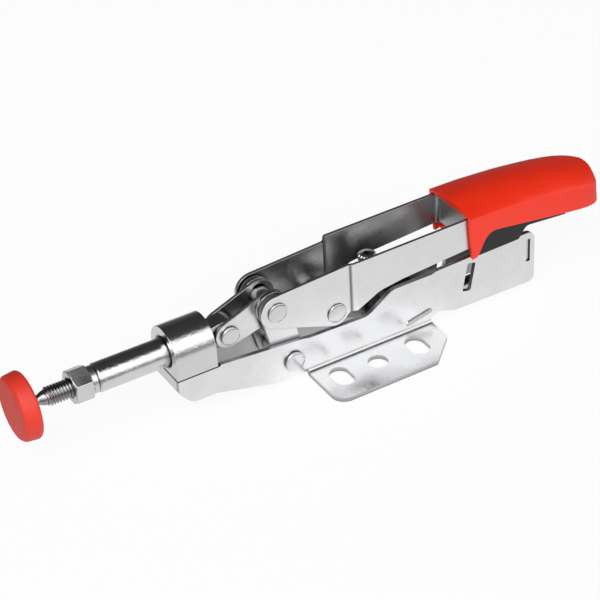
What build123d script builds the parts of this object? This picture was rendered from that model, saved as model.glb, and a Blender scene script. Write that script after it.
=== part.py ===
from build123d import *
from math import cos, hypot, radians, sin, sqrt
import os

# Push-pull toggle clamp with a self-adjusting rear carriage.
# Millimetres. +X runs from the pressure cap to the grip, +Z is up and Y is across.
# The origin is on the mounting plane, midway between the two round flange holes.

# ---------------------------------------------------------------- driving dimensions
rod_d = 12.0                # plunger
rod_z = 30.0                # height of the plunger axis
body_half_w = 10.7          # outer faces of the folded base plates
base_sheet = 2.0
rocker_sheet = 1.7
link_sheet = 1.6
strap_sheet = 1.5
side_play = 0.1             # between faces that slide past each other
seat_play = 0.05            # between faces that seat on each other
bore_play = 0.06            # radial, on pins and on the plunger
pin_d = 6.0
head_d = 8.0
head_h = 1.0
hinge_head_h = 1.8          # the stouter heads of the base pivot

base_pivot_x = -33.1        # rocker hinge on the base
base_pivot_z = 10.3
rocker_length = 26.75
rocker_lean = 103.4         # degrees above +X in the locked position
arm_length = 29.2           # top pin to brace pin, on the handle
arm_dip = 22.35             # degrees below +X in the locked position
link_length = 20.0          # plunger pin to top pin
brace_length = 26.0         # brace pin to carriage pin

base_front_x = -84.8
base_rear_x = 85.9
collar_length = 17.9
seam_z = 21.3               # collar sides sit here on the plates
sill_z = 17.5               # lowest stretch of the plate's top edge
box_front_x = 14.4          # rear box of the plates
box_z = 25.6
box_rear_z = 27.8
belly_z = 2.5               # lower edge of the plates, clear of the mounting plane

flange_front_x = -27.0
flange_rear_x = 33.2
flange_half_w = 34.7
slot_x = -17.3              # front slots
rear_slot_x = 19.2
hole_y = 21.0
bolt_hole_d = 8.5
slot_length = 12.6

thread_d = 7.9
nut_across_flats = 13.0
cap_d = 27.6
cap_length = 7.4

grip_half_w = 15.0
grip_rear_x = 118.9
grip_fall = 6.0             # degrees that the back of the grip falls toward the rear
strap_spread = 2.2          # each strap steps outward by this much

# ---------------------------------------------------------------- what follows from them
base_inner = body_half_w - base_sheet
rocker_outer = base_inner - side_play
rocker_inner = rocker_outer - rocker_sheet
link_outer = rocker_inner - link_sheet
link_inner = link_outer - link_sheet
washer_inner = link_outer + seat_play
washer_outer = rocker_inner - seat_play
strap_outer = body_half_w
strap_inner = strap_outer - strap_sheet
wide_outer = strap_outer + strap_spread
wide_inner = wide_outer - strap_sheet
brace_half_w = link_inner + 0.2
pin_r = pin_d / 2
bore_r = pin_r + bore_play

p4 = (base_pivot_x, base_pivot_z)
p2 = (p4[0] + rocker_length * cos(radians(rocker_lean)), p4[1] + rocker_length * sin(radians(rocker_lean)))
p1 = (p2[0] - sqrt(link_length**2 - (p2[1] - rod_z)**2), rod_z)
dip = (cos(radians(arm_dip)), -sin(radians(arm_dip)))
p3 = (p2[0] + arm_length * dip[0], p2[1] + arm_length * dip[1])
p5 = (p3[0] + brace_length * dip[0], p3[1] + brace_length * dip[1])
collar_rear_x = base_front_x + collar_length
rod_front_x = base_front_x - 30.3


def side_plane(y):
    """Plane across Y: sketch x is +X, sketch y is +Z, and extrusion runs toward -Y."""
    return Plane(origin=(0, y, 0), x_dir=(1, 0, 0), z_dir=(0, -1, 0))


def cross_plane(x):
    """Plane across X: sketch x is +Y, sketch y is +Z, and extrusion runs toward +X."""
    return Plane(origin=(x, 0, 0), x_dir=(0, 1, 0), z_dir=(1, 0, 0))


def pivot_pin(at, half_length, head_height):
    """Riveted pin across Y, with a low bevelled head at each end."""
    with BuildPart() as pin:
        with BuildSketch(side_plane(half_length)):
            with Locations(at):
                Circle(pin_r)
        extrude(amount=2 * half_length)
        with BuildSketch(side_plane(half_length + head_height), side_plane(-half_length)):
            with Locations(at):
                Circle(head_d / 2)
        extrude(amount=head_height)
        rims = pin.edges().filter_by(GeomType.CIRCLE).group_by(Axis.Y)
        chamfer(rims[0] + rims[-1], 0.35)
    return pin.part


def eye_bar(a, b, r_a, r_b, y_inner, thickness):
    """Flat bar on the near side, with a round eye and a pin hole at each end."""
    with BuildPart() as bar:
        with BuildSketch(side_plane(-y_inner)):
            with Locations(a):
                Circle(r_a)
            with Locations(b):
                Circle(r_b)
            make_hull()
            with Locations(a, b):
                Circle(bore_r, mode=Mode.SUBTRACT)
        extrude(amount=thickness)
        chamfer(bar.edges().filter_by(GeomType.LINE).group_by(Axis.Y)[0], 0.2)
    return bar.part


def sleeve(at, r_outer, y_from, y_to):
    """Plain bush on a pin, from one Y to the other."""
    with BuildPart() as ring:
        with BuildSketch(side_plane(y_to)):
            with Locations(at):
                Circle(r_outer)
                Circle(bore_r, mode=Mode.SUBTRACT)
        extrude(amount=y_to - y_from)
    return ring.part


def save(part, label):
    part.label = label
    export_step(part, f"parts/{label}.step")


os.makedirs("parts", exist_ok=True)

# ---------------------------------------------------------------- folded base halves
# One pressing: side plate, bent-out mounting flange, window, tie slot and stiffening bead.
tail_x = flange_rear_x + 3.3          # relief behind the flange
fold_r = 2.0                          # inner radius of the flange fold
fold_z = base_sheet + fold_r          # the fold is tangent to the plate here
fold_centre = (-body_half_w - fold_r, fold_z)
box_mid_x = 33.9
plate_outline = [
    (base_front_x, seam_z),
    (collar_rear_x + 0.6, seam_z),
    (collar_rear_x + 1.2, seam_z + 0.7),
    (flange_front_x - 2.5, sill_z + 1.5),
    (flange_front_x + 2.2, sill_z + 0.7),
    (box_front_x - 11.9, sill_z),
    (box_front_x, box_z),
    (box_mid_x, box_z),
    (box_mid_x + 1.9, box_z + 0.7),
    (base_rear_x, box_rear_z),
    (base_rear_x, belly_z),
    (tail_x + 8.6, belly_z + 0.7),
    (tail_x, belly_z + 3.5),
    (flange_rear_x, fold_z),
    (flange_front_x, fold_z),
    (flange_front_x, belly_z),
    (-41.6, belly_z),
    (-68.6, 9.4),
    (-79.4, 9.3),
    (base_front_x, 15.6),
]
plate_corners = [0.6, 0.2, 0.4, 4, 4, 8, 7, 1.2, 1.2, 4, 3, 2, 1.5, 0, 0, 0, 12, 8, 6, 3]
window_outline = [(51.6, 24.1), (55.6, 23.2), (53.0, 10.1), (48.9, 11.0)]
tie_x = base_rear_x - 3.3
tie_sheet = 2.0
tie_low_z = 13.3
tie_high_z = 24.4
bead_from = (21.6, 5.9)
bead_to = (32.3, 8.2)

with BuildPart() as base_near:
    with BuildSketch(side_plane(-base_inner)):
        with BuildLine():
            FilletPolyline(*plate_outline, radius=plate_corners, close=True)
        make_face()
        with Locations(p4):
            Circle(bore_r, mode=Mode.SUBTRACT)
        with BuildLine():
            FilletPolyline(*window_outline, radius=[0.8] * 4, close=True)
        make_face(mode=Mode.SUBTRACT)
        with Locations((tie_x, (tie_low_z + tie_high_z) / 2)):
            Rectangle(tie_sheet, tie_high_z - tie_low_z, mode=Mode.SUBTRACT)
    extrude(amount=base_sheet)
    # flange, bent outward along the foot of the plate
    with BuildSketch(Plane.XY):
        with BuildLine():
            FilletPolyline(
                (flange_front_x, -body_half_w - fold_r),
                (flange_front_x, -flange_half_w),
                (flange_rear_x - 13.0, -flange_half_w),
                (flange_rear_x, -flange_half_w + 12.4),
                (flange_rear_x, -body_half_w - fold_r),
                radius=[0, 6, 2.5, 2.5, 0],
                close=True,
            )
        make_face()
        with Locations((0, -hole_y)):
            Circle(bolt_hole_d / 2, mode=Mode.SUBTRACT)
        with Locations((slot_x, -hole_y), (rear_slot_x, -hole_y)):
            SlotOverall(slot_length, bolt_hole_d, rotation=90, mode=Mode.SUBTRACT)
    extrude(amount=base_sheet)
    # the fold itself, of even thickness, along the whole flange
    with BuildSketch(cross_plane(flange_front_x)):
        with BuildLine():
            CenterArc(fold_centre, fold_r, -90, 90)
            CenterArc(fold_centre, fold_r + base_sheet, -90, 90)
            Line((-body_half_w, fold_z), (-base_inner, fold_z))
            Line((-body_half_w - fold_r, 0), (-body_half_w - fold_r, base_sheet))
        make_face()
    extrude(amount=flange_rear_x - flange_front_x)
    # stiffening bead beside the flange fold
    with BuildSketch(side_plane(-body_half_w)):
        with Locations(bead_from, bead_to):
            Circle(1.3)
        make_hull()
    extrude(amount=0.6, taper=30)

with BuildPart() as base_far:
    mirror(base_near.part, about=Plane.XZ)

save(base_near.part, "base_plate_near")
save(base_far.part, "base_plate_far")

# ---------------------------------------------------------------- guide collar
# Round on top, flat sides flush with the plates, and a tang that fits between them.
with BuildPart() as collar:
    with BuildSketch(cross_plane(base_front_x)):
        with Locations((0, rod_z)):
            Circle(body_half_w)
        with Locations((0, (rod_z + seam_z) / 2)):
            Rectangle(2 * body_half_w, rod_z - seam_z)
        with Locations((0, seam_z - 2.9)):
            Rectangle(2 * base_inner, 5.8)
        with Locations((0, rod_z)):
            Circle(rod_d / 2 + bore_play, mode=Mode.SUBTRACT)
    extrude(amount=collar_length)
    mouths = collar.edges().filter_by(GeomType.CIRCLE).filter_by(lambda e: e.radius < rod_d / 2 + 0.5)
    chamfer(mouths, 0.9)
save(collar.part, "guide_collar")

# ---------------------------------------------------------------- rocker hinge and rockers
save(pivot_pin(p4, body_half_w, hinge_head_h), "base_pivot_pin")
save(sleeve(p4, 4.6, -rocker_inner, rocker_inner), "base_pivot_spacer")
rocker_near = eye_bar(p4, p2, 6.5, 6.5, rocker_inner, rocker_sheet)
save(rocker_near, "rocker_near")
save(rocker_near.mirror(Plane.XZ), "rocker_far")

# ---------------------------------------------------------------- top pin, its tube and washers
save(pivot_pin(p2, strap_outer, head_h), "top_pin")
save(sleeve(p2, 4.6, -link_inner, link_inner), "top_pin_spacer")
washer_r = 7.0
near_washer = sleeve(p2, washer_r, -washer_outer, -washer_inner)
save(Compound(children=[near_washer, near_washer.mirror(Plane.XZ)]), "top_pin_washers")

# ---------------------------------------------------------------- front links and their pin
# The rear eyes are slots: the top pin runs on a slightly different arc from the links.
slot_along = 0.86
slot_across = 2.31
along = ((p2[0] - p1[0]) / link_length, (p2[1] - p1[1]) / link_length)
slot_end = (
    p2[0] + slot_along * along[0] - slot_across * along[1],
    p2[1] + slot_along * along[1] + slot_across * along[0],
)
with BuildPart() as link_near:
    with BuildSketch(side_plane(-link_inner)):
        with Locations(p1):
            Circle(6.0)
        with Locations(p2):
            Circle(washer_r)
        make_hull()
        with Locations(p1):
            Circle(bore_r, mode=Mode.SUBTRACT)
    extrude(amount=link_sheet)
    with BuildSketch(side_plane(-link_inner)):
        with Locations(p2, slot_end):
            Circle(bore_r + 0.03)
        make_hull()
    extrude(amount=link_sheet, mode=Mode.SUBTRACT)
    chamfer(link_near.edges().filter_by(GeomType.LINE).group_by(Axis.Y)[0], 0.2)
save(link_near.part, "front_link_near")
save(link_near.part.mirror(Plane.XZ), "front_link_far")
save(pivot_pin(p1, link_outer, head_h + 0.6), "link_pin")

# ---------------------------------------------------------------- plunger
# Round rod, tapped at the front and flattened to a tongue with one eye at the rear.
tongue_half_w = link_inner - side_play
tap_depth = 24.0
tongue_step = 1.6           # solid rod ends this far ahead of the eye
with BuildPart() as plunger:
    with BuildSketch(cross_plane(rod_front_x)):
        with Locations((0, rod_z)):
            Circle(rod_d / 2)
    extrude(amount=p1[0] - rod_d / 2 - tongue_step - rod_front_x)
    chamfer(plunger.edges().filter_by(GeomType.CIRCLE), 0.9)
    with BuildSketch(side_plane(tongue_half_w)):
        with Locations(p1):
            Circle(rod_d / 2)
        with Locations((p1[0] - rod_d / 2 - tongue_step, rod_z)):
            Rectangle(2, rod_d - 2.4)
        make_hull()
    extrude(amount=2 * tongue_half_w)
    with BuildSketch(side_plane(tongue_half_w)):
        with Locations(p1):
            Circle(bore_r)
    extrude(amount=2 * tongue_half_w, mode=Mode.SUBTRACT)
    with BuildSketch(cross_plane(rod_front_x)):
        with Locations((0, rod_z)):
            Circle(thread_d / 2 + bore_play)
    extrude(amount=tap_depth, mode=Mode.SUBTRACT)
save(plunger.part, "plunger")

# ---------------------------------------------------------------- spindle, nut, washer, cap
# The spindle ends in a ball, and the cap snaps over it.
washer_h = 2.4
nut_h = 7.8
thread_free = 10.4          # bare thread ahead of the nut
neck_cone = 2.6
neck_free = 3.8             # neck between its cone and the cap
nut_rear_x = rod_front_x - washer_h
nut_front_x = nut_rear_x - nut_h
thread_front_x = nut_front_x - thread_free
neck_x = thread_front_x - neck_cone
cap_rear_x = neck_x - neck_free
neck_r = 2.0
ball_r = 2.8
ball_depth = 3.5            # ball centre inside the rear face of the cap
ball_x = cap_rear_x - ball_depth
ball_back = sqrt(ball_r**2 - neck_r**2)

with BuildPart() as spindle:
    with BuildSketch(side_plane(0)):
        with BuildLine():
            Polyline(
                (ball_x - ball_r, rod_z),
                (rod_front_x + tap_depth - 6, rod_z),
                (rod_front_x + tap_depth - 6, rod_z + thread_d / 2 - 0.8),
                (rod_front_x + tap_depth - 6.8, rod_z + thread_d / 2),
                (thread_front_x, rod_z + thread_d / 2),
                (neck_x, rod_z + neck_r),
                (ball_x + ball_back, rod_z + neck_r),
            )
            ThreePointArc(
                (ball_x + ball_back, rod_z + neck_r),
                (ball_x, rod_z + ball_r),
                (ball_x - ball_r, rod_z),
            )
        make_face()
    revolve(axis=Axis((0, 0, rod_z), (1, 0, 0)))
save(spindle.part, "spindle")

with BuildPart() as lock_nut:
    with BuildSketch(cross_plane(nut_front_x)):
        with Locations((0, rod_z)):
            RegularPolygon(nut_across_flats / 2, 6, major_radius=False, rotation=30)
            Circle(thread_d / 2 + bore_play, mode=Mode.SUBTRACT)
    extrude(amount=nut_rear_x - nut_front_x)
    # the six corners are turned off at 30 degrees on both faces
    with BuildSketch(side_plane(0)):
        with BuildLine():
            Polyline(
                (nut_front_x, rod_z),
                (nut_front_x, rod_z + nut_across_flats / 2 - 0.2),
                (nut_front_x + 0.8, rod_z + nut_across_flats / 2 + 1.2),
                (nut_rear_x - 0.8, rod_z + nut_across_flats / 2 + 1.2),
                (nut_rear_x, rod_z + nut_across_flats / 2 - 0.2),
                (nut_rear_x, rod_z),
                close=True,
            )
        make_face()
    revolve(axis=Axis((0, 0, rod_z), (1, 0, 0)), mode=Mode.INTERSECT)
save(lock_nut.part, "lock_nut")

with BuildPart() as lock_washer:
    with BuildSketch(cross_plane(nut_rear_x)):
        with Locations((0, rod_z)):
            Circle(rod_d / 2 - 0.4)
            Circle(thread_d / 2 + bore_play, mode=Mode.SUBTRACT)
    extrude(amount=rod_front_x - nut_rear_x)
save(lock_washer.part, "lock_washer")

socket_r = ball_r + seat_play
lip_r = 2.3
lip_x = ball_x + sqrt(socket_r**2 - lip_r**2)
cap_front_x = cap_rear_x - cap_length
cap_r = cap_d / 2
with BuildPart() as cap:
    with BuildSketch(side_plane(0)):
        with BuildLine():
            Line((cap_rear_x, rod_z + lip_r + 0.4), (cap_rear_x, rod_z + cap_r - 1.6))
            RadiusArc((cap_rear_x, rod_z + cap_r - 1.6), (cap_rear_x - 1.6, rod_z + cap_r), -1.6)
            Line((cap_rear_x - 1.6, rod_z + cap_r), (cap_front_x + 1.3, rod_z + cap_r - 0.5))
            Line((cap_front_x + 1.3, rod_z + cap_r - 0.5), (cap_front_x, rod_z + cap_r - 1.7))
            Line((cap_front_x, rod_z + cap_r - 1.7), (cap_front_x, rod_z))
            Line((cap_front_x, rod_z), (ball_x - socket_r, rod_z))
            ThreePointArc((ball_x - socket_r, rod_z), (ball_x, rod_z + socket_r), (lip_x, rod_z + lip_r))
            Line((lip_x, rod_z + lip_r), (cap_rear_x, rod_z + lip_r + 0.4))
        make_face()
    revolve(axis=Axis((0, 0, rod_z), (1, 0, 0)))
save(cap.part, "pressure_cap")

# ---------------------------------------------------------------- brace and adjusting screw
# The brace runs from the handle to the carriage. A boss near its rear eye is tapped for
# the upright adjusting screw, whose spring keeps it from turning by itself.
screw_x = p5[0] - 2.35
screw_r = 2.4
screw_low_z = p5[1] + 3.87  # clear of the carriage pin
screw_reach = 18.0
screw_head_z = screw_low_z + screw_reach
screw_head_h = 2.6
screw_head_r = 4.0
socket_af = 3.0
socket_h = 1.6
boss_h = 5.0
boss_z = screw_low_z + boss_h
brace_eye_r = 6.0
with BuildPart() as brace:
    with BuildSketch(side_plane(brace_half_w)):
        with Locations(p3, p5):
            Circle(brace_eye_r)
        make_hull()
        with Locations(p3, p5):
            Circle(bore_r, mode=Mode.SUBTRACT)
    extrude(amount=2 * brace_half_w)
    with BuildSketch(Plane.XY.offset(screw_low_z)):
        with Locations((screw_x, 0)):
            Circle(brace_half_w)
    extrude(amount=boss_z - screw_low_z)
    with BuildSketch(Plane.XY.offset(screw_low_z - side_play)):
        with Locations((screw_x, 0)):
            Circle(screw_r + bore_play)
    extrude(amount=boss_z - screw_low_z + side_play, mode=Mode.SUBTRACT)
save(brace.part, "brace")

with BuildPart() as adjusting_screw:
    with BuildSketch(Plane.XY.offset(screw_head_z)):
        with Locations((screw_x, 0)):
            Circle(screw_head_r)
    extrude(amount=screw_head_h)
    chamfer(adjusting_screw.edges().group_by(Axis.Z)[-1], 0.4)
    with BuildSketch(Plane.XY.offset(screw_low_z)):
        with Locations((screw_x, 0)):
            Circle(screw_r)
    extrude(amount=screw_head_z - screw_low_z)
    with BuildSketch(Plane.XY.offset(screw_head_z + screw_head_h - socket_h)):
        with Locations((screw_x, 0)):
            RegularPolygon(socket_af / 2, 6, major_radius=False)
    extrude(amount=socket_h, mode=Mode.SUBTRACT)
save(adjusting_screw.part, "adjusting_screw")


def coil_spring(start, end, mean_r, wire_d, turns):
    """Round-wire helix on the axis from start to end, whose wire just reaches both."""
    length = hypot(end[0] - start[0], end[2] - start[2])
    axis = ((end[0] - start[0]) / length, 0, (end[2] - start[2]) / length)
    low = (start[0] + axis[0] * wire_d / 2, 0, start[2] + axis[2] * wire_d / 2)
    run = length - wire_d
    with BuildPart() as coil:
        with BuildLine() as path:
            Helix(run / turns, run, mean_r, center=low, direction=axis)
        with BuildSketch(Plane(origin=path.line @ 0, z_dir=path.line % 0)):
            Circle(wire_d / 2)
        sweep(path=path.line)
    return coil.part


adjuster_wire = 0.9
adjuster_spring = coil_spring(
    (screw_x, 0, boss_z + seat_play),
    (screw_x, 0, screw_head_z - seat_play),
    screw_r + adjuster_wire / 2 + 0.15,
    adjuster_wire,
    8,
)
save(adjuster_spring, "adjuster_spring")

save(pivot_pin(p3, strap_outer, head_h), "brace_pin")
near_bush = sleeve(p3, 5.0, -strap_inner + seat_play, -brace_half_w - seat_play)
save(Compound(children=[near_bush, near_bush.mirror(Plane.XZ)]), "brace_pin_bushes")

# ---------------------------------------------------------------- rear carriage
# Slides between the plates. The carriage pin has a long slot in its two cheeks.
slot_travel = 4.3
slot_rise = 0.11
carriage_half_w = base_inner - side_play
cheek_inner = brace_half_w + side_play
fork_x = p5[0] + slot_travel + brace_eye_r + 0.4
carriage_rear_x = fork_x + 12.5
carriage_low_z = 2.9
carriage_high_z = 13.0
guide_r = 2.5
guide_z = 6.3
spring_pocket_r = 4.9
spring_pocket = 8.0
with BuildPart() as carriage:
    with BuildSketch(side_plane(carriage_half_w)):
        with Locations(p5, (p5[0] + slot_travel, p5[1])):
            Circle(brace_eye_r)
        with Locations(((fork_x + p5[0]) / 2, (carriage_low_z + p5[1]) / 2)):
            Rectangle(fork_x - p5[0], p5[1] - carriage_low_z)
        make_hull()
    extrude(amount=2 * carriage_half_w)
    with BuildSketch(side_plane(cheek_inner)):
        with Locations(((fork_x + p5[0]) / 2 - 10, p5[1])):
            Rectangle(fork_x - p5[0] + 20, 40)
    extrude(amount=2 * cheek_inner, mode=Mode.SUBTRACT)
    with BuildSketch(side_plane(carriage_half_w)):
        with Locations(((fork_x + carriage_rear_x) / 2, (carriage_low_z + carriage_high_z) / 2)):
            Rectangle(carriage_rear_x - fork_x, carriage_high_z - carriage_low_z)
    extrude(amount=2 * carriage_half_w)
    with BuildSketch(side_plane(carriage_half_w)):
        with Locations((p5[0], p5[1] + slot_rise / 2), (p5[0] + slot_travel, p5[1] + slot_rise / 2)):
            Circle(bore_r + slot_rise / 2)
        make_hull()
    extrude(amount=2 * carriage_half_w, mode=Mode.SUBTRACT)
    with BuildSketch(cross_plane(fork_x)):
        with Locations((0, guide_z)):
            Circle(guide_r + bore_play)
    extrude(amount=carriage_rear_x - fork_x, mode=Mode.SUBTRACT)
    with BuildSketch(cross_plane(carriage_rear_x - spring_pocket)):
        with Locations((0, guide_z)):
            Circle(spring_pocket_r)
    extrude(amount=spring_pocket, mode=Mode.SUBTRACT)
save(carriage.part, "carriage")

with BuildPart() as carriage_pin:
    with BuildSketch(side_plane(carriage_half_w)):
        with Locations(p5):
            Circle(pin_r)
    extrude(amount=2 * carriage_half_w)
    chamfer(carriage_pin.edges().filter_by(GeomType.CIRCLE), 0.4)
save(carriage_pin.part, "carriage_pin")

# ---------------------------------------------------------------- guide rod, spring and rear tie
shoulder_x = carriage_rear_x + 8.0
shoulder_r = 4.2
rivet_r = 1.9
with BuildPart() as guide_rod:
    with BuildSketch(side_plane(0)):
        with BuildLine():
            Polyline(
                (fork_x + 1.5, guide_z),
                (fork_x + 1.5, guide_z + guide_r - 0.4),
                (fork_x + 1.9, guide_z + guide_r),
                (shoulder_x, guide_z + guide_r),
                (shoulder_x, guide_z + shoulder_r),
                (shoulder_x + 3.0, guide_z + shoulder_r),
                (shoulder_x + 3.0, guide_z + guide_r),
                (tie_x - tie_sheet / 2, guide_z + guide_r),
                (tie_x - tie_sheet / 2, guide_z + rivet_r),
                (tie_x + tie_sheet / 2, guide_z + rivet_r),
                (tie_x + tie_sheet / 2 + 0.9, guide_z + rivet_r - 0.6),
                (tie_x + tie_sheet / 2 + 0.9, guide_z),
                close=True,
            )
        make_face()
    revolve(axis=Axis((0, 0, guide_z), (1, 0, 0)))
save(guide_rod.part, "guide_rod")

carriage_wire = 1.2
carriage_travel = 3.9
carriage_spring = coil_spring(
    (carriage_rear_x - spring_pocket + carriage_travel + 0.3, 0, guide_z),
    (shoulder_x - seat_play, 0, guide_z),
    guide_r + carriage_wire / 2 + 0.3,
    carriage_wire,
    5,
)
save(carriage_spring, "carriage_spring")

with BuildPart() as rear_tie:
    with BuildSketch(cross_plane(tie_x - tie_sheet / 2)):
        with Locations((0, (belly_z + 2 + tie_high_z + 1) / 2)):
            Rectangle(2 * base_inner - seat_play, tie_high_z - belly_z - 1)
        with Locations((0, (tie_low_z + tie_high_z) / 2)):
            Rectangle(2 * body_half_w, tie_high_z - tie_low_z - 2 * seat_play)
        with Locations((0, guide_z)):
            Circle(rivet_r, mode=Mode.SUBTRACT)
    extrude(amount=tie_sheet)
save(rear_tie.part, "rear_tie")

# ---------------------------------------------------------------- handle frame
# One strip folded to a U: plan of the fold, then cut to the side outline. The eyes of the
# two straps stay inside the width of the base, and behind the joggle the straps run wider.
joggle_x = -5.3
joggle_run = 1.8
web_x = 53.9
fold_outer_r = 3.6
strap_eye_r = 7.3
back_front_z = 45.6         # strap back just ahead of the joggle
back_rear_z = 47.2
tongue_z = 34.2             # tongue bent rearward from the lower edge of the web
tongue_w = 15.0
tongue_rear_x = 96.9


def strap_plan(y_shift):
    """One face of the U in plan, moved inward by y_shift."""
    return [
        (p2[0] - 20, -strap_outer + y_shift),
        (joggle_x, -strap_outer + y_shift),
        (joggle_x + joggle_run, -wide_outer + y_shift),
        (web_x - y_shift, -wide_outer + y_shift),
        (web_x - y_shift, wide_outer - y_shift),
        (joggle_x + joggle_run, wide_outer - y_shift),
        (joggle_x, strap_outer - y_shift),
        (p2[0] - 20, strap_outer - y_shift),
    ]


def u_face(y_shift, fold_r):
    """Face enclosed by one side of the U strip."""
    with BuildSketch(Plane.XY) as face:
        with BuildLine():
            FilletPolyline(*strap_plan(y_shift), radius=[0, 1.2, 1.2, fold_r, fold_r, 1.2, 1.2, 0], close=True)
        make_face()
    return face.sketch


with BuildPart() as handle_frame:
    add(u_face(0, fold_outer_r))
    extrude(amount=60)
    with BuildSketch(Plane.XY):
        add(u_face(strap_sheet, fold_outer_r - strap_sheet))
    extrude(amount=60, mode=Mode.SUBTRACT)
    with BuildSketch(side_plane(20)):
        with Locations(p2):
            Circle(strap_eye_r)
        with Locations(p3):
            Circle(brace_eye_r + 0.2)
        make_hull()
        with BuildLine():
            FilletPolyline(
                p2,
                (p2[0] - 0.4, p2[1] + strap_eye_r - 0.01),
                (joggle_x + 0.4, back_front_z),
                (joggle_x + 2.0, back_rear_z - 0.6),
                (web_x + 1, back_rear_z),
                (web_x + 1, 33.2),
                (18.5, 30.9),
                (7.1, 29.3),
                (-2.5, 24.5),
                (p3[0] + 5.0, 22.1),
                p3,
                radius=[0, 0, 1.5, 1.5, 3, 4, 12, 12, 4, 1.5, 0],
                close=True,
            )
        make_face()
        with Locations(p2, p3):
            Circle(bore_r, mode=Mode.SUBTRACT)
    extrude(amount=40, mode=Mode.INTERSECT)
    # tongue bent rearward from the lower edge of the web, the core of the grip
    with BuildSketch(Plane.XY.offset(tongue_z)):
        with Locations(((web_x + tongue_rear_x) / 2, 0)):
            RectangleRounded(tongue_rear_x - web_x + 2, tongue_w, 0.9)
    extrude(amount=strap_sheet)
save(handle_frame.part, "handle_frame")

# ---------------------------------------------------------------- grip
# Two moulded pieces: a red back with lugs beside the straps, and a dark insert under it.
lug_z = 27.9
seam_curve = [(53.5, lug_z), (58.2, 36.4), (62.1, 38.7), (99.3, 33.3)]
pocket_x = web_x + seat_play
ridge_z = 49.4              # height of the side ridge at the mouth
back_plane = Plane(
    origin=(46.9, 0, ridge_z),
    x_dir=(0, 1, 0),
    z_dir=(cos(radians(grip_fall)), 0, -sin(radians(grip_fall))),
)


with BuildPart() as grip_pocket:
    # room for the U of the handle frame and for its tongue
    with BuildSketch(Plane.XY.offset(lug_z - 5)):
        with Locations((pocket_x - 10, 0)):
            Rectangle(20, 2 * (wide_outer + seat_play))
    extrude(amount=back_rear_z + 0.4 - lug_z + 5)
    with BuildSketch(Plane.XY.offset(tongue_z - seat_play)):
        with Locations(((web_x + tongue_rear_x) / 2, 0)):
            Rectangle(tongue_rear_x - web_x + 4, tongue_w + 2 * seat_play)
    extrude(amount=strap_sheet + 2 * seat_play)


with BuildPart() as grip_shell:
    with BuildSketch(side_plane(grip_half_w)):
        with BuildLine():
            FilletPolyline(
                (49.5, 54),
                (51.2, lug_z),
                *seam_curve,
                (grip_rear_x, 30.6),
                (grip_rear_x - 2.2, 54),
                radius=[0, 0.8, 0.8, 4, 5, 1, 3, 0],
                close=True,
            )
        make_face()
    extrude(amount=2 * grip_half_w)
    with BuildSketch(back_plane):
        with BuildLine():
            Line((-grip_half_w + 0.8, -26), (-grip_half_w, 0))
            Line((-grip_half_w, 0), (-11.8, 2.0))
            ThreePointArc((-11.8, 2.0), (0, 3.3), (11.8, 2.0))
            Line((11.8, 2.0), (grip_half_w, 0))
            Line((grip_half_w, 0), (grip_half_w - 0.8, -26))
            Line((grip_half_w - 0.8, -26), (-grip_half_w + 0.8, -26))
        make_face()
    extrude(amount=80, mode=Mode.INTERSECT)
    with BuildSketch(Plane.XY):
        with BuildLine():
            FilletPolyline(
                (46.9, -grip_half_w),
                (grip_rear_x - 2.6, -grip_half_w),
                (grip_rear_x, 0),
                (grip_rear_x - 2.6, grip_half_w),
                (46.9, grip_half_w),
                radius=[0, 7, 30, 7, 0],
                close=True,
            )
        make_face()
    extrude(amount=60, mode=Mode.INTERSECT)
    add(grip_pocket.part, mode=Mode.SUBTRACT)
save(grip_shell.part, "grip_shell")

insert_half_w = grip_half_w - 1.2
with BuildPart() as grip_insert:
    with BuildSketch(side_plane(insert_half_w)):
        with BuildLine():
            FilletPolyline(
                (seam_curve[0][0] + 0.5, lug_z + 0.4),
                *seam_curve[1:],
                (100.5, 32.1),
                (79.3, 34.0),
                (75.5, lug_z + 0.8),
                radius=[0.3, 4, 5, 0.5, 0.5, 3, 2],
                close=True,
            )
        make_face()
    extrude(amount=2 * insert_half_w)
    add(grip_pocket.part, mode=Mode.SUBTRACT)
save(grip_insert.part, "grip_insert")
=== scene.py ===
from math import cos, pi, radians, sin

import bmesh
import bpy
from mathutils import Matrix, Vector


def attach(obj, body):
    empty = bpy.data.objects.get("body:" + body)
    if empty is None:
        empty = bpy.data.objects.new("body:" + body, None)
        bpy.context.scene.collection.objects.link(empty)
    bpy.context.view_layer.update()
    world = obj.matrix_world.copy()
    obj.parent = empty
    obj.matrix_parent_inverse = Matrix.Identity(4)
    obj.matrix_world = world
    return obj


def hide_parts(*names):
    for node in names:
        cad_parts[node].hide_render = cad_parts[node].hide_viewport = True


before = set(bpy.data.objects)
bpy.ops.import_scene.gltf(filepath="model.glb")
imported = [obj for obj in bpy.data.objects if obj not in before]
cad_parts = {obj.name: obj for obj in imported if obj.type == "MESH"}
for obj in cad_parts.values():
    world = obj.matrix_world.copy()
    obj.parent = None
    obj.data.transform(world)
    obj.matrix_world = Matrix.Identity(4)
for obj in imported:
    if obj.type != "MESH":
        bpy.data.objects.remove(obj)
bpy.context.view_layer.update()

# ---------------------------------------------------------------- camera
# A long lens above the pressure cap's corner, looking down along the clamp.
camera_data = bpy.data.cameras.new("camera")
camera_data.lens = 118.0
camera_data.sensor_width = 36.0
camera_data.clip_start = 0.01
camera = bpy.data.objects.new("camera", camera_data)
bpy.context.scene.collection.objects.link(camera)
turn = Matrix.Rotation(radians(-29.092), 4, "Z")
tilt = Matrix.Rotation(radians(90 - 34.953), 4, "X")
roll = Matrix.Rotation(radians(-3.421), 4, "Z")
camera.matrix_world = Matrix.Translation((-0.337395, -0.565365, 0.481775)) @ turn @ tilt @ roll
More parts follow.
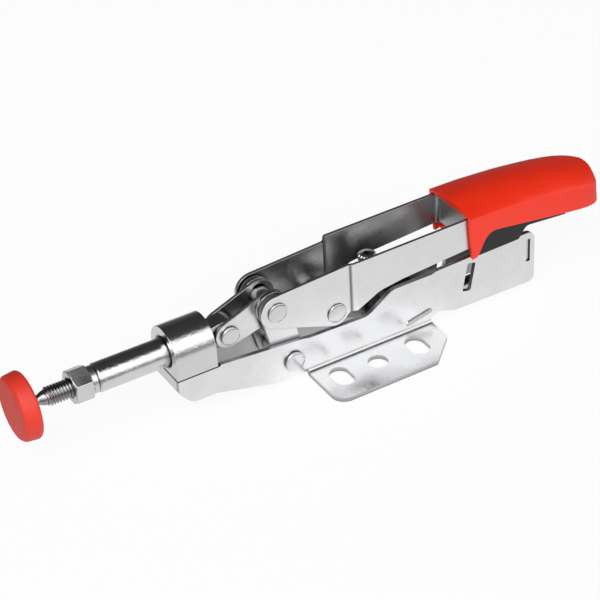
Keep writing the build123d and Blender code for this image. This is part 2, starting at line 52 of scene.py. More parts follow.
bpy.context.scene.camera = camera
bpy.context.scene.view_settings.view_transform = "Standard"

# ---------------------------------------------------------------- floor
# A pale matt table under the flanges. Its colour gives the white ground. Metal shows a painted reflection
# of it, as of a light table: a glow that only glossy rays see, brightest right under the part and dark far away.
bm = bmesh.new()
bmesh.ops.create_circle(bm, cap_ends=True, segments=96, radius=3.0)
floor_mesh = bpy.data.meshes.new("floor")
bm.to_mesh(floor_mesh)
bm.free()
floor = bpy.data.objects.new("floor", floor_mesh)
floor.location.z = -0.0002
bpy.context.scene.collection.objects.link(floor)

floor_paint = bpy.data.materials.new("floor_paint")
floor_paint.use_nodes = True
nodes, links = floor_paint.node_tree.nodes, floor_paint.node_tree.links
nodes.clear()
surface = nodes.new("ShaderNodeOutputMaterial")
matt = nodes.new("ShaderNodeBsdfDiffuse")
matt.inputs["Color"].default_value = (0.86, 0.86, 0.86, 1)
white = nodes.new("ShaderNodeEmission")
white.inputs["Color"].default_value = (1, 1, 1, 1)
sheen = nodes.new("ShaderNodeEmission")
spot = nodes.new("ShaderNodeTexCoord")
reach = nodes.new("ShaderNodeVectorMath")
reach.operation = "LENGTH"
links.new(spot.outputs["Object"], reach.inputs[0])
fade = nodes.new("ShaderNodeMapRange")
fade.interpolation_type = "SMOOTHSTEP"
fade.inputs["From Min"].default_value = 0.115
fade.inputs["From Max"].default_value = 0.22
fade.inputs["To Min"].default_value = 0.98
fade.inputs["To Max"].default_value = 0.10
links.new(reach.outputs["Value"], fade.inputs["Value"])
# painted reflection: the floor's glow for glossy rays is raised up to 1.45 times right under the part
near = nodes.new("ShaderNodeMapRange")
near.interpolation_type = "SMOOTHSTEP"
near.inputs["From Min"].default_value = 0.032
near.inputs["From Max"].default_value = 0.055
near.inputs["To Min"].default_value = 1.45
near.inputs["To Max"].default_value = 1.0
links.new(reach.outputs["Value"], near.inputs["Value"])
level = nodes.new("ShaderNodeMath")
level.operation = "MULTIPLY"
links.new(fade.outputs["Result"], level.inputs[0])
links.new(near.outputs["Result"], level.inputs[1])
links.new(level.outputs[0], sheen.inputs["Strength"])
ray = nodes.new("ShaderNodeLightPath")
clear = nodes.new("ShaderNodeMath")
clear.operation = "MAXIMUM"
links.new(ray.outputs["Is Glossy Ray"], clear.inputs[0])
links.new(ray.outputs["Is Transmission Ray"], clear.inputs[1])
mirrored = nodes.new("ShaderNodeMath")
mirrored.operation = "MULTIPLY"
mirrored.inputs[1].default_value = 0.7
links.new(clear.outputs[0], mirrored.inputs[0])
seen = nodes.new("ShaderNodeMath")
seen.operation = "MULTIPLY"
seen.inputs[1].default_value = 0.93
links.new(ray.outputs["Is Camera Ray"], seen.inputs[0])
under = nodes.new("ShaderNodeMixShader")
links.new(mirrored.outputs[0], under.inputs["Fac"])
links.new(matt.outputs[0], under.inputs[1])
links.new(sheen.outputs[0], under.inputs[2])
over = nodes.new("ShaderNodeMixShader")
links.new(seen.outputs[0], over.inputs["Fac"])
links.new(under.outputs[0], over.inputs[1])
links.new(white.outputs[0], over.inputs[2])
links.new(over.outputs[0], surface.inputs["Surface"])
floor_mesh.materials.append(floor_paint)

# ---------------------------------------------------------------- studio light
# A broad white tent in front, open to a dark room overhead and behind, with one soft
# lamp for a little direction. The tent is what gives the plating its light and dark bands.
world = bpy.data.worlds.new("studio")
bpy.context.scene.world = world
world.use_nodes = True
nodes, links = world.node_tree.nodes, world.node_tree.links
nodes.clear()
sky = nodes.new("ShaderNodeOutputWorld")
heading = nodes.new("ShaderNodeTexCoord")
way = nodes.new("ShaderNodeSeparateXYZ")
links.new(heading.outputs["Generated"], way.inputs[0])
ahead = nodes.new("ShaderNodeMath")
ahead.operation = "MULTIPLY"
ahead.inputs[1].default_value = -1.0
links.new(way.outputs["Y"], ahead.inputs[0])
rise = nodes.new("ShaderNodeMath")
rise.operation = "ARCTAN2"
links.new(way.outputs["Z"], rise.inputs[0])
links.new(ahead.outputs[0], rise.inputs[1])
half_turn = nodes.new("ShaderNodeMath")
half_turn.operation = "DIVIDE"
half_turn.inputs[1].default_value = pi
links.new(rise.outputs[0], half_turn.inputs[0])
tent = nodes.new("ShaderNodeValToRGB")
links.new(half_turn.outputs[0], tent.inputs["Fac"])
# degrees up from the front horizon, and brightness there
bands = [
    (0, 0.10), (4, 0.12), (9, 0.50), (27, 0.90), (48, 0.92),
    (59, 0.86), (66, 0.07), (80, 0.03), (140, 0.02), (180, 0.06),
]  # fmt: skip
while len(tent.color_ramp.elements) < len(bands):
    tent.color_ramp.elements.new(0.5)
for stop, (angle, shade) in zip(tent.color_ramp.elements, bands):
    stop.position = angle / 180
    stop.color = (shade, shade, shade, 1)
tent_light = nodes.new("ShaderNodeBackground")
links.new(tent.outputs["Color"], tent_light.inputs["Color"])
tent_light.inputs["Strength"].default_value = 2.0
ground = nodes.new("ShaderNodeBackground")
ground.inputs["Color"].default_value = (1, 1, 1, 1)
ground.inputs["Strength"].default_value = 1.0
ray = nodes.new("ShaderNodeLightPath")
choose = nodes.new("ShaderNodeMixShader")
links.new(ray.outputs["Is Camera Ray"], choose.inputs["Fac"])
links.new(tent_light.outputs[0], choose.inputs[1])
links.new(ground.outputs[0], choose.inputs[2])
links.new(choose.outputs[0], sky.inputs["Surface"])

lamp_data = bpy.data.lights.new("soft_lamp", "AREA")
lamp_data.shape = "DISK"
lamp_data.size = 0.7
lamp_data.energy = 4.6
lamp = bpy.data.objects.new("soft_lamp", lamp_data)
bpy.context.scene.collection.objects.link(lamp)
lamp.location = (-0.50, -0.36, 0.80)
lamp.rotation_euler = (Vector((0, 0, 0)) - lamp.location).to_track_quat("-Z", "Y").to_euler()

# ---------------------------------------------------------------- folded base halves
# Two mirrored pressings of 2 mm sheet with a bent-out foot, bright zinc plated. The
# plating is satin and faintly cloudy on the rolled faces, and duller on the sheared edges.
mm = 0.001


def grain_group():
    """Cloudy tone, fine grain and sheared streaks of plated steel."""
    group = bpy.data.node_groups.new("plating_grain", "ShaderNodeTree")
    group.interface.new_socket("Cloud size", in_out="INPUT", socket_type="NodeSocketFloat")
    group.interface.new_socket("Grain size", in_out="INPUT", socket_type="NodeSocketFloat")
    group.interface.new_socket("Cloud", in_out="OUTPUT", socket_type="NodeSocketFloat")
    group.interface.new_socket("Grain", in_out="OUTPUT", socket_type="NodeSocketFloat")
    group.interface.new_socket("Shear", in_out="OUTPUT", socket_type="NodeSocketFloat")
    nodes, links = group.nodes, group.links
    given = nodes.new("NodeGroupInput")
    result = nodes.new("NodeGroupOutput")
    place = nodes.new("ShaderNodeTexCoord")
    cloud = nodes.new("ShaderNodeTexNoise")
    cloud.inputs["Detail"].default_value = 3.0
    links.new(place.outputs["Object"], cloud.inputs["Vector"])
    links.new(given.outputs["Cloud size"], cloud.inputs["Scale"])
    links.new(cloud.outputs["Fac"], result.inputs["Cloud"])
    grain = nodes.new("ShaderNodeTexNoise")
    grain.inputs["Detail"].default_value = 4.0
    grain.inputs["Roughness"].default_value = 0.65
    links.new(place.outputs["Object"], grain.inputs["Vector"])
    links.new(given.outputs["Grain size"], grain.inputs["Scale"])
    links.new(grain.outputs["Fac"], result.inputs["Grain"])
    drag = nodes.new("ShaderNodeMapping")
    drag.inputs["Scale"].default_value = (2200, 260, 2200)
    links.new(place.outputs["Object"], drag.inputs["Vector"])
    shear = nodes.new("ShaderNodeTexNoise")
    shear.inputs["Scale"].default_value = 1.0
    shear.inputs["Detail"].default_value = 2.0
    links.new(drag.outputs["Vector"], shear.inputs["Vector"])
    links.new(shear.outputs["Fac"], result.inputs["Shear"])
    return group


def sheared_group():
    """Masks of a pressing: its sheared edges, and the faces turned to the inside of the clamp."""
    group = bpy.data.node_groups.new("sheared_edge", "ShaderNodeTree")
    group.interface.new_socket("Mask", in_out="OUTPUT", socket_type="NodeSocketFloat")
    group.interface.new_socket("Inside", in_out="OUTPUT", socket_type="NodeSocketFloat")
    nodes, links = group.nodes, group.links
    result = nodes.new("NodeGroupOutput")
    place = nodes.new("ShaderNodeTexCoord")
    facing = nodes.new("ShaderNodeSeparateXYZ")
    links.new(place.outputs["Normal"], facing.inputs[0])
    spot = nodes.new("ShaderNodeSeparateXYZ")
    links.new(place.outputs["Object"], spot.inputs[0])

    def step(source, low, high, flat=True):
        if flat:
            size = nodes.new("ShaderNodeMath")
            size.operation = "ABSOLUTE"
            links.new(source, size.inputs[0])
            source = size.outputs[0]
        ramp = nodes.new("ShaderNodeMapRange")
        ramp.inputs["From Min"].default_value = low
        ramp.inputs["From Max"].default_value = high
        links.new(source, ramp.inputs["Value"])
        return ramp.outputs["Result"]

    side = step(facing.outputs["Y"], 0.45, 0.25)
    foot = step(spot.outputs["Z"], 0.0045, 0.0035)
    outer = step(spot.outputs["Y"], 0.0107, 0.0115)
    upward = step(facing.outputs["Z"], 0.6, 0.3)
    on_foot = nodes.new("ShaderNodeMath")
    on_foot.operation = "MULTIPLY"
    links.new(foot, on_foot.inputs[0])
    links.new(outer, on_foot.inputs[1])
    rim = nodes.new("ShaderNodeMix")
    links.new(on_foot.outputs[0], rim.inputs["Factor"])
    links.new(side, rim.inputs["A"])
    links.new(upward, rim.inputs["B"])
    links.new(rim.outputs["Result"], result.inputs["Mask"])
    hand = nodes.new("ShaderNodeMath")
    hand.operation = "SIGN"
    links.new(spot.outputs["Y"], hand.inputs[0])
    inward = nodes.new("ShaderNodeMath")
    inward.operation = "MULTIPLY"
    links.new(facing.outputs["Y"], inward.inputs[0])
    links.new(hand.outputs[0], inward.inputs[1])
    links.new(step(inward.outputs[0], -0.3, -0.6, flat=False), result.inputs["Inside"])
    return group


plating_grain = grain_group()
sheared_edge = sheared_group()


def plated(name, colour, roughness, grain_size, grain_depth, cloud=0.06, edge=None, inner_shade=None, crease_shade=None):
    """Zinc-plated steel: metallic, with cloudy roughness, fine grain and, on sheet, duller sheared edges; painted
    shade darkens crevices, inside faces and an optional crease line.
    """
    material = bpy.data.materials.new(name)
    material.use_nodes = True
    nodes, links = material.node_tree.nodes, material.node_tree.links
    steel = nodes["Principled BSDF"]
    steel.inputs["Metallic"].default_value = 1.0
    texture = nodes.new("ShaderNodeGroup")
    texture.node_tree = plating_grain
    texture.inputs["Cloud size"].default_value = 120.0
    texture.inputs["Grain size"].default_value = grain_size
    gloss = nodes.new("ShaderNodeMapRange")
    gloss.inputs["From Min"].default_value = 0.3
    gloss.inputs["From Max"].default_value = 0.7
    gloss.inputs["To Min"].default_value = roughness - cloud
    gloss.inputs["To Max"].default_value = roughness + cloud
    links.new(texture.outputs["Cloud"], gloss.inputs["Value"])
    tone = nodes.new("ShaderNodeMix")
    tone.data_type = "RGBA"
    tone.inputs[6].default_value = (*[c * 0.93 for c in colour], 1)
    tone.inputs[7].default_value = (*colour, 1)
    spread = nodes.new("ShaderNodeMapRange")
    spread.inputs["From Min"].default_value = 0.3
    spread.inputs["From Max"].default_value = 0.65
    links.new(texture.outputs["Cloud"], spread.inputs["Value"])
    links.new(spread.outputs["Result"], tone.inputs[0])
    relief = nodes.new("ShaderNodeBump")
    relief.inputs["Strength"].default_value = 1.0
    relief.inputs["Distance"].default_value = grain_depth
    if edge is None:
        links.new(tone.outputs[2], steel.inputs["Base Color"])
        links.new(gloss.outputs["Result"], steel.inputs["Roughness"])
        links.new(texture.outputs["Grain"], relief.inputs["Height"])
    else:
        mask = nodes.new("ShaderNodeGroup")
        mask.node_tree = sheared_edge
        # painted shade: faces turned to the inside of the clamp take a darker colour
        inside_shaded = nodes.new("ShaderNodeMix")
        inside_shaded.data_type = "RGBA"
        inside_shaded.inputs[7].default_value = (*inner_shade, 1)
        links.new(mask.outputs["Inside"], inside_shaded.inputs[0])
        links.new(tone.outputs[2], inside_shaded.inputs[6])
        dull = nodes.new("ShaderNodeMix")
        dull.data_type = "RGBA"
        dull.inputs[7].default_value = (*edge, 1)
        links.new(mask.outputs["Mask"], dull.inputs[0])
        links.new(inside_shaded.outputs[2], dull.inputs[6])
        links.new(dull.outputs[2], steel.inputs["Base Color"])
        rough = nodes.new("ShaderNodeMix")
        rough.inputs["B"].default_value = 0.42
        links.new(mask.outputs["Mask"], rough.inputs["Factor"])
        links.new(gloss.outputs["Result"], rough.inputs["A"])
        links.new(rough.outputs["Result"], steel.inputs["Roughness"])
        height = nodes.new("ShaderNodeMix")
        links.new(mask.outputs["Mask"], height.inputs["Factor"])
        links.new(texture.outputs["Grain"], height.inputs["A"])
        links.new(texture.outputs["Shear"], height.inputs["B"])
        links.new(height.outputs["Result"], relief.inputs["Height"])
    links.new(relief.outputs["Normal"], steel.inputs["Normal"])
    # painted shade: ambient occlusion darkens the base colour in crevices and tight gaps
    shade = nodes.new("ShaderNodeAmbientOcclusion")
    shade.samples = 6
    shade.inputs["Distance"].default_value = 0.003
    crevice_shade = nodes.new("ShaderNodeMapRange")
    crevice_shade.inputs["From Min"].default_value = 0.35
    crevice_shade.inputs["From Max"].default_value = 0.82
    crevice_shade.inputs["To Min"].default_value = 0.16
    links.new(shade.outputs["AO"], crevice_shade.inputs["Value"])
    painted_shade = crevice_shade.outputs["Result"]
    if crease_shade is not None:
        # painted shade: a dark line along a bend or joint in the plane axis = place
        axis, at, near_w, far_w, dark = crease_shade
        place = nodes.new("ShaderNodeTexCoord")
        spot = nodes.new("ShaderNodeSeparateXYZ")
        links.new(place.outputs["Object"], spot.inputs[0])
        off = nodes.new("ShaderNodeMath")
        off.operation = "SUBTRACT"
        off.inputs[1].default_value = at
        links.new(spot.outputs[axis], off.inputs[0])
        near = nodes.new("ShaderNodeMath")
        near.operation = "ABSOLUTE"
        links.new(off.outputs[0], near.inputs[0])
        line = nodes.new("ShaderNodeMapRange")
        line.interpolation_type = "SMOOTHSTEP"
        line.inputs["From Min"].default_value = near_w
        line.inputs["From Max"].default_value = far_w
        line.inputs["To Min"].default_value = dark
        links.new(near.outputs[0], line.inputs["Value"])
        both = nodes.new("ShaderNodeMath")
        both.operation = "MULTIPLY"
        links.new(painted_shade, both.inputs[0])
        links.new(line.outputs["Result"], both.inputs[1])
        painted_shade = both.outputs[0]
    deep = nodes.new("ShaderNodeMix")
    deep.data_type = "RGBA"
    deep.blend_type = "MULTIPLY"
    deep.inputs[0].default_value = 1.0
    links.new(steel.inputs["Base Color"].links[0].from_socket, deep.inputs[6])
    links.new(painted_shade, deep.inputs[7])
    links.new(deep.outputs[2], steel.inputs["Base Color"])
    return material


def put(name, bm, material, body, slot, *replaced):
    """Make the piece from its bmesh, give it its finish and body, and hide the solids it stands for."""
    mesh = bpy.data.meshes.new(name)
    bm.to_mesh(mesh)
    bm.free()
    for face in mesh.polygons:
        face.use_smooth = True
    mesh.materials.append(material)
    piece = bpy.data.objects.new(name, mesh)
    bpy.context.scene.collection.objects.link(piece)
    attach(piece, body)
    if replaced:
        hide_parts(*replaced)
    return piece


def eased(node, width, material, slot, body, segments=2):
    """The node's own shape with its sharp edges rounded a little, as pressing and tumbling leave them."""
    bm = bmesh.new()
    bm.from_mesh(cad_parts[node].data)
    bmesh.ops.remove_doubles(bm, verts=bm.verts, dist=2e-6)
    bmesh.ops.dissolve_limit(bm, angle_limit=radians(0.6), verts=bm.verts, edges=bm.edges)
    piece = put(node + "_piece", bm, material, body, slot, node)
    bevel = piece.modifiers.new("eased", "BEVEL")
    bevel.width = width
    bevel.segments = segments
    bevel.limit_method = "ANGLE"
    bevel.angle_limit = radians(28)
    bevel.use_clamp_overlap = False
    flat = piece.modifiers.new("flat_faces", "WEIGHTED_NORMAL")
    flat.mode = "FACE_AREA"
    flat.weight = 90
    flat.keep_sharp = True
    return piece


sheet_zinc = (0.77, 0.773, 0.78)
sheared_zinc = (0.42, 0.42, 0.43)
# painted shade for the faces turned to the inside of the clamp
inside_shade = (0.36, 0.36, 0.365)
fold_out = 11.7 * mm
for node, fold_y in (("base_plate_near", -fold_out), ("base_plate_far", fold_out)):
    # painted shade: a dark line along each fold
    folded_steel = plated(
        node + "_steel", sheet_zinc, 0.28, 2600, 0.32e-5, edge=sheared_zinc, inner_shade=inside_shade,
        crease_shade=("Y", fold_y, 0.1 * mm, 0.95 * mm, 0.45),
    )
    plate = eased(node, 0.22 * mm, folded_steel, "plated_sheet", "base")
    plate.modifiers["eased"].use_clamp_overlap = True

# ---------------------------------------------------------------- guide collar
# A turned and milled steel block that the plunger runs in, zinc plated. It sits between
# the front ends of the two plates, and a painted shade line darkens its seam with them.
bar_zinc = (0.66, 0.663, 0.67)
seam_z = 21.3 * mm
turned_steel = plated("turned_steel", bar_zinc, 0.11, 900, 1.4e-4, cloud=0.02)
block_steel = plated(
    "block_steel", bar_zinc, 0.11, 900, 1.4e-4, cloud=0.02,
    # painted shade: a dark line along the seam with the plates
    crease_shade=("Z", seam_z, 0.5 * mm, 0.75 * mm, 0.06),
)
eased("guide_collar", 0.3 * mm, block_steel, "plated_bar", "base")

# ---------------------------------------------------------------- rivets and pins
# Turned and plated steel pins across the linkage. Each end is upset into a low head with
# a flat crown. Tubes, washers and bushes on the pins hold the bars apart.
pin_steel = plated("pin_steel", (0.67, 0.672, 0.68), 0.22, 1300, 0.8e-5, cloud=0.05)


def rivet(node, body, at, half_length, head_h, head_r=4.15 * mm):
    """Pin across Y through at, with the same upset head at both ends."""
    bm = bmesh.new()
    reach = half_length + head_h
    half = [
        (0.0, reach),
        (head_r * 0.79, reach),
        (head_r * 0.84, reach - 0.03 * mm),
        (head_r * 0.95, reach - 0.18 * mm),
        (head_r * 0.99, reach - 0.27 * mm),
        (head_r, reach - 0.38 * mm),
        (head_r, half_length + 0.06 * mm),
        (head_r - 0.06 * mm, half_length),
        (3.0 * mm, half_length),
    ]
    outline = half + [(r, -y) for r, y in reversed(half)]
    verts = [bm.verts.new((at[0] + r, y, at[1])) for r, y in outline]
    edges = [bm.edges.new(pair) for pair in zip(verts, verts[1:])]
    bmesh.ops.spin(
        bm, geom=verts + edges, cent=(at[0], 0, at[1]), axis=(0, 1, 0), angle=2 * pi, steps=56, use_merge=True
    )
    bmesh.ops.remove_doubles(bm, verts=bm.verts, dist=1e-6)
    bmesh.ops.recalc_face_normals(bm, faces=bm.faces)
    return put(node + "_piece", bm, pin_steel, body, "plated_pin", node)


hinge_at = (-33.1 * mm, 10.3 * mm)
top_at = (-39.299 * mm, 36.322 * mm)
link_at = (-58.274 * mm, 30.0 * mm)
brace_at = (-12.293 * mm, 25.218 * mm)
rivet("base_pivot_pin", "base", hinge_at, 10.7 * mm, 1.8 * mm, 4.25 * mm)
rivet("top_pin", "rocker", top_at, 10.7 * mm, 1.0 * mm)
rivet("link_pin", "front_links", link_at, 5.3 * mm, 1.6 * mm, 3.95 * mm)
rivet("brace_pin", "handle", brace_at, 10.7 * mm, 1.0 * mm)
for node, body in (
    ("base_pivot_spacer", "base"),
    ("top_pin_spacer", "rocker"),
    ("top_pin_washers", "rocker"),
    ("brace_pin_bushes", "handle"),
    ("carriage_pin", "brace"),
):
    eased(node, 0.15 * mm, pin_steel, "plated_pin", body)

# ---------------------------------------------------------------- rockers and front links
# Flat bars stamped from thick sheet, with a pin's eye at each end, zinc plated like the
# base. They hang on their pins in two like pairs, with the plunger's tongue between.
sheet_steel = plated("sheet_steel", sheet_zinc, 0.29, 2600, 0.32e-5, edge=sheared_zinc, inner_shade=inside_shade)
for node, body in (
    ("rocker_near", "rocker"),
    ("rocker_far", "rocker"),
    ("front_link_near", "front_links"),
    ("front_link_far", "front_links"),
):
    eased(node, 0.2 * mm, sheet_steel, "plated_sheet", body)

# ---------------------------------------------------------------- plunger
# A ground and plated round steel rod that slides in the collar, tapped at its front end
# for the spindle and flattened to a tongue where the links hold it.
eased("plunger", 0.2 * mm, turned_steel, "plated_bar", "plunger")

# ---------------------------------------------------------------- threaded spindle
# An M8 steel screw with a rolled thread, a turned neck and a ball that the cap snaps on.
# It screws into the plunger. Its rear end stops just short of the bore's bottom.
thread_steel = plated("thread_steel", (0.36, 0.36, 0.365), 0.24, 1500, 0.6e-5, cloud=0.05)
axis_z = 30.0 * mm
pitch = 1.25 * mm
thread_front = -135.7 * mm
thread_rear = -97.5 * mm
crest_r = 3.95 * mm
root_r = 3.2 * mm
bm = bmesh.new()
profile = [(0, root_r), (0.14, root_r), (0.44, crest_r), (0.56, crest_r), (0.86, root_r), (1.0, root_r)]
verts = [bm.verts.new((thread_front - pitch * (1.5 - s), 0, axis_z + r)) for s, r in profile]
edges = [bm.edges.new(pair) for pair in zip(verts, verts[1:])]
turns = 34
bmesh.ops.spin(
    bm, geom=verts + edges, cent=(0, 0, axis_z), axis=(1, 0, 0), dvec=(pitch / 36, 0, 0),
    angle=2 * pi * turns, steps=36 * turns,
)
bmesh.ops.remove_doubles(bm, verts=bm.verts, dist=1e-6)
for x, way in ((thread_front, -1), (thread_rear, 1)):
    bmesh.ops.bisect_plane(
        bm, geom=bm.verts[:] + bm.edges[:] + bm.faces[:], plane_co=(x, 0, 0), plane_no=(way, 0, 0), clear_outer=True
    )
    rim = [e for e in bm.edges if e.is_boundary and all(abs(v.co.x - x) < 1e-6 for v in e.verts)]
    bmesh.ops.edgeloop_fill(bm, edges=rim)
for v in bm.verts:
    # the first turn runs out on a 45 degree chamfer
    arm = Vector((0, v.co.y, v.co.z - axis_z))
    limit = 3.0 * mm + (v.co.x - thread_front)
    if arm.length > limit:
        arm = arm.normalized() * limit
        v.co.y, v.co.z = arm.y, axis_z + arm.z
bmesh.ops.recalc_face_normals(bm, faces=bm.faces)
ball_x = -145.6 * mm
ball_r = 2.8 * mm
neck_r = 2.0 * mm
neck = [
    (thread_front + 0.4 * mm, 0),
    (thread_front + 0.4 * mm, 3.0 * mm),
    (thread_front - 0.1 * mm, 3.05 * mm),
    (-137.0 * mm, 2.75 * mm),
    (-138.3 * mm, neck_r + 0.1 * mm),
    (-138.9 * mm, neck_r),
]
neck += [(ball_x + ball_r * cos(a), ball_r * sin(a)) for a in [radians(46 + 134 * i / 10) for i in range(11)]]
verts = [bm.verts.new((x, 0, axis_z + r)) for x, r in neck]
edges = [bm.edges.new(pair) for pair in zip(verts, verts[1:])]
bmesh.ops.spin(
    bm, geom=verts + edges, cent=(0, 0, axis_z), axis=(1, 0, 0), angle=2 * pi, steps=48, use_merge=True
)
bmesh.ops.remove_doubles(bm, verts=[v for v in bm.verts if v.co.x < thread_front + 0.5 * mm], dist=1e-6)
bmesh.ops.recalc_face_normals(bm, faces=bm.faces)
put("spindle_piece", bm, thread_steel, "spindle", "plated_bar", "spindle")

# ---------------------------------------------------------------- lock nut and washer
# A cold-formed hexagon nut, chamfered on both faces and plated. It is tightened on the
# spindle against a plain washer on the plunger's end.
nut_steel = plated("nut_steel", bar_zinc, 0.26, 1300, 1.4e-5, cloud=0.06)
eased("lock_nut", 0.25 * mm, nut_steel, "plated_bar", "plunger")
eased("lock_washer", 0.2 * mm, nut_steel, "plated_pin", "plunger")

# ---------------------------------------------------------------- pressure cap
# A moulded red rubber cap that presses on the work. It is snapped straight over the
# ball of the spindle, and its rim is well rounded.


def moulded(name, colour, roughness, grain_size, grain_depth, specular=0.5, mottle=0.06):
    """Moulded plastic or rubber with a fine eroded-tool grain and slight tone variation."""
    material = bpy.data.materials.new(name)
    material.use_nodes = True
    nodes, links = material.node_tree.nodes, material.node_tree.links
    plastic = nodes["Principled BSDF"]
    plastic.inputs["Specular IOR Level"].default_value = specular
    texture = nodes.new("ShaderNodeGroup")
    texture.node_tree = plating_grain
    texture.inputs["Cloud size"].default_value = 90.0
    texture.inputs["Grain size"].default_value = grain_size
    tone = nodes.new("ShaderNodeMix")
    tone.data_type = "RGBA"
    tone.inputs[6].default_value = (*[c * (1 - mottle) for c in colour], 1)
    tone.inputs[7].default_value = (*[min(1, c * (1 + mottle)) for c in colour], 1)
    links.new(texture.outputs["Cloud"], tone.inputs[0])
    links.new(tone.outputs[2], plastic.inputs["Base Color"])
    gloss = nodes.new("ShaderNodeMapRange")
    gloss.inputs["From Min"].default_value = 0.3
    gloss.inputs["From Max"].default_value = 0.7
    gloss.inputs["To Min"].default_value = roughness - 0.05
    gloss.inputs["To Max"].default_value = roughness + 0.05
    links.new(texture.outputs["Cloud"], gloss.inputs["Value"])
    links.new(gloss.outputs["Result"], plastic.inputs["Roughness"])
    relief = nodes.new("ShaderNodeBump")
    relief.inputs["Distance"].default_value = grain_depth
    links.new(texture.outputs["Grain"], relief.inputs["Height"])
    links.new(relief.outputs["Normal"], plastic.inputs["Normal"])
    return material


red_rubber = moulded("red_rubber", (0.66, 0.032, 0.014), 0.5, 1400, 1.2e-5)
eased("pressure_cap", 0.45 * mm, red_rubber, "red_rubber", "spindle", segments=3)

# ---------------------------------------------------------------- brace, adjusting screw and springs
# A milled bar between handle and carriage. Its boss takes a knurled adjusting screw,
# held from turning by a coil spring under the head.
screw_steel = plated("screw_steel", (0.62, 0.62, 0.625), 0.16, 1500, 0.8e-5, cloud=0.05)
spring_steel = plated("spring_steel", (0.20, 0.20, 0.205), 0.26, 1500, 0.4e-5, cloud=0.04)
black_steel = plated("black_steel", (0.075, 0.075, 0.08), 0.38, 1500, 1.0e-5, cloud=0.06)
eased("brace", 0.06 * mm, turned_steel, "plated_bar", "brace")
screw_x = 9.404 * mm
low_z = 19.2 * mm
neck_z = 37.2 * mm
top_z = 39.8 * mm
around = 72
bm = bmesh.new()


def ring(radius_at, z):
    """Closed ring of points round the screw's axis, its radius given for each heading."""
    headings = [2 * pi * i / around for i in range(around)]
    return [
        bm.verts.new((screw_x + radius_at(i, t) * cos(t), radius_at(i, t) * sin(t), z))
        for i, t in enumerate(headings)
    ]


def plain(radius):
    return lambda i, t: radius


def knurled(low, high, shift):
    return lambda i, t: high if (i + shift) % 4 > 1 else low


def threaded(z):
    return lambda i, t: (2.2 + 0.2 * cos(2 * pi * z / (0.8 * mm) - t)) * mm


def hexagon(i, t):
    return 1.5 * mm / cos((t % (pi / 3)) - pi / 6)


def crisp(piece, degrees):
    """Keep edges sharper than this crisp and shade the rest smooth."""
    mesh = piece.data
    bm = bmesh.new()
    bm.from_mesh(mesh)
    for edge in bm.edges:
        edge.smooth = len(edge.link_faces) == 2 and edge.calc_face_angle() < radians(degrees)
    bm.to_mesh(mesh)
    bm.free()


rings = [ring(plain(0.9 * mm), low_z), ring(plain(1.9 * mm), low_z + 0.5 * mm)]
rings += [ring(threaded(z), z) for z in [low_z + 0.8 * mm + 0.16 * mm * i for i in range(104)]]
rings += [
    ring(plain(2.4 * mm), neck_z - 0.3 * mm),
    ring(plain(2.4 * mm), neck_z),
    ring(plain(3.3 * mm), neck_z),
    *[ring(knurled(3.45 * mm, 4.0 * mm, 2 * k), neck_z + (0.3 + 0.48 * k) * mm) for k in range(5)],
    ring(knurled(3.0 * mm, 3.3 * mm, 0), top_z),
    ring(hexagon, top_z),
    ring(hexagon, top_z - 1.6 * mm),
]
for lower, upper in zip(rings, rings[1:]):
    for i in range(around):
        j = (i + 1) % around
        bm.faces.new((lower[i], lower[j], upper[j], upper[i]))
bm.faces.new(rings[0])
bm.faces.new(rings[-1])
bmesh.ops.recalc_face_normals(bm, faces=bm.faces)
screw = put("adjusting_screw_piece", bm, screw_steel, "adjusting_screw", "plated_pin", "adjusting_screw")
crisp(screw, 40)
for node, body in (("adjuster_spring", "brace"), ("carriage_spring", "base")):
    eased(node, 0.05 * mm, spring_steel, "spring_wire", body)

# ---------------------------------------------------------------- carriage, guide rod and rear tie
# A blackened steel block that slides between the plates on a plated round rod. A plate
# across the rear holds the rod, with its tabs in slots of the two base halves.
eased("carriage", 0.06 * mm, black_steel, "dark_screw", "carriage")
eased("guide_rod", 0.2 * mm, turned_steel, "plated_bar", "base")
tab_reach = 9.9 * mm
tie = eased("rear_tie", 0.2 * mm, sheet_steel, "plated_sheet", "base")
for v in tie.data.vertices:
    # the tabs stop a little short of the plates' outer faces
    v.co.y = max(-tab_reach, min(tab_reach, v.co.y))

# ---------------------------------------------------------------- handle frame
# One strip of 1.5 mm sheet folded to a U and plated, stepped outward behind the pins,
# with a tongue bent back from its web for the grip. A painted shade line darkens the step's bend,
# and painted shade darkens the straps' inner faces.
step_x = -5.3 * mm
bent_steel = plated(
    "bent_steel", sheet_zinc, 0.29, 2600, 0.32e-5, edge=sheared_zinc, inner_shade=(0.42, 0.42, 0.425),
    crease_shade=("X", step_x, 0.15 * mm, 0.8 * mm, 0.3),
)
eased("handle_frame", 0.2 * mm, bent_steel, "plated_sheet", "handle")

# ---------------------------------------------------------------- grip
# A red moulded shell with a crowned back over a black moulded insert. Both are pushed
# onto the tongue of the frame, whose straps enter the shell's pocket.
red_plastic = moulded("red_plastic", (0.80, 0.026, 0.006), 0.38, 2600, 0.8e-5)
black_plastic = moulded("black_plastic", (0.014, 0.014, 0.015), 0.45, 1800, 1.2e-5, specular=0.3)
mouth_x = 49.7
pocket_x = 53.95
turn_x = 100.0
rear_x = 119.4
half_w = 15.0
well_w = 12.95
well_z = 47.5
edge_line = [
    (mouth_x, 27.9), (52.8, 27.9), (pocket_x, 28.5), (54.8, 29.9), (56.0, 32.2), (57.3, 34.8), (58.5, 36.6),
    (60.3, 37.9), (62.6, 38.5), (66.0, 38.1), (82.0, 35.8), (98.0, 33.5), (121.0, 30.4),
]  # fmt: skip


def between(x, table):
    """Value of the table at x, on straight lines between its points."""
    for (x0, y0), (x1, y1) in zip(table, table[1:]):
        if x <= x1:
            return y0 + (y1 - y0) * max(0, x - x0) / (x1 - x0)
    return table[-1][1]


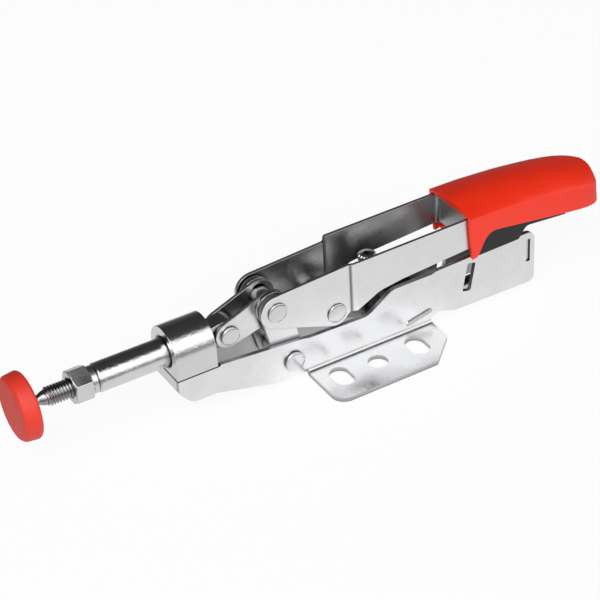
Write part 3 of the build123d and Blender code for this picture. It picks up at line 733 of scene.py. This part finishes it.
def section(x, w):
    """Outer skin of the shell at x, from the near lower edge over the back to the far one."""
    u = (x - mouth_x) / (rear_x - mouth_x)
    low = between(x, edge_line)
    ridge = 49.1 - 7.3 * u + between(u, [(0, -1.0), (0.2, 0.3), (0.45, 1.0), (0.7, 0.6), (1, -1.0)])
    crown = between(u, [(0, 2.9), (0.45, 4.8), (0.8, 4.8), (1, 4.4)]) * min(1, w / 7) ** 0.4
    skin = [(-w + 0.3, low), (-w + 0.15, (low + ridge) / 2), (-w, ridge - 0.28), (-w + 0.12, ridge - 0.03)]
    steps = 9
    for i in range(1, steps + 1):
        y = -w * (1 - i / steps)
        skin.append((y, ridge + crown * (1 - abs(y / w) ** (1.7 + 1.1 * u))))
    skin += [(-y, z) for y, z in reversed(skin[:-1])]
    lean = 0.08 if x == mouth_x else 0.13 * max(0, x - turn_x) / (rear_x - turn_x)
    level = 49.0 if x == mouth_x else ridge
    return [bm.verts.new(((x + (level - min(z, level)) * lean) * mm, y * mm, z * mm)) for y, z in skin]


bm = bmesh.new()
stations = [(mouth_x, half_w), (pocket_x, half_w)]
stations += [(x, half_w) for x in (54.8, 56.0, 57.3, 58.5, 60.3, 62.6, 66.0, 70.0, 75.0, 80.0, 85.0, 90.0, 94.5)]
for i in range(19):
    angle = radians(86.5 * (i / 18) ** 1.5)
    stations.append((turn_x + (rear_x - turn_x) * sin(angle) ** 0.556, half_w * cos(angle) ** 0.556))
skins = [section(x, w) for x, w in stations]
wells = []
for foot, top in (((51.39, 27.9), (49.82, well_z)), ((pocket_x, 28.5), (pocket_x, well_z))):
    # the pocket's opening at the mouth, then its floor
    corners = [(foot, -1), (top, -1), (top, 1), (foot, 1)]
    wells.append([bm.verts.new((x * mm, side * well_w * mm, z * mm)) for (x, z), side in corners])
for before, after in zip(skins, skins[1:]):
    for i in range(len(before) - 1):
        bm.faces.new((before[i], before[i + 1], after[i + 1], after[i]))
bm.faces.new(skins[0] + wells[0][::-1])
for i in range(3):
    bm.faces.new((wells[0][i], wells[0][i + 1], wells[1][i + 1], wells[1][i]))
bm.faces.new((skins[0][0], skins[1][0], wells[1][0], wells[0][0]))
bm.faces.new((skins[0][-1], wells[0][3], wells[1][3], skins[1][-1]))
bm.faces.new(wells[1])
bm.faces.new((skins[1][0], skins[2][0], skins[2][-1], skins[1][-1], wells[1][3], wells[1][0]))
for before, after in zip(skins[2:], skins[3:]):
    bm.faces.new((before[0], after[0], after[-1], before[-1]))
bm.faces.new(skins[-1])
bmesh.ops.recalc_face_normals(bm, faces=bm.faces)
bmesh.ops.triangulate(bm, faces=[f for f in bm.faces if len(f.verts) > 6])
shell = put("grip_shell_piece", bm, red_plastic, "handle", "red_plastic", "grip_shell")
ease = shell.modifiers.new("eased", "BEVEL")
ease.width = 0.35 * mm
ease.segments = 2
ease.limit_method = "ANGLE"
ease.angle_limit = radians(50)
ease.use_clamp_overlap = False
flat = shell.modifiers.new("flat_faces", "WEIGHTED_NORMAL")
flat.keep_sharp = True
eased("grip_insert", 0.4 * mm, black_plastic, "black_plastic", "handle")
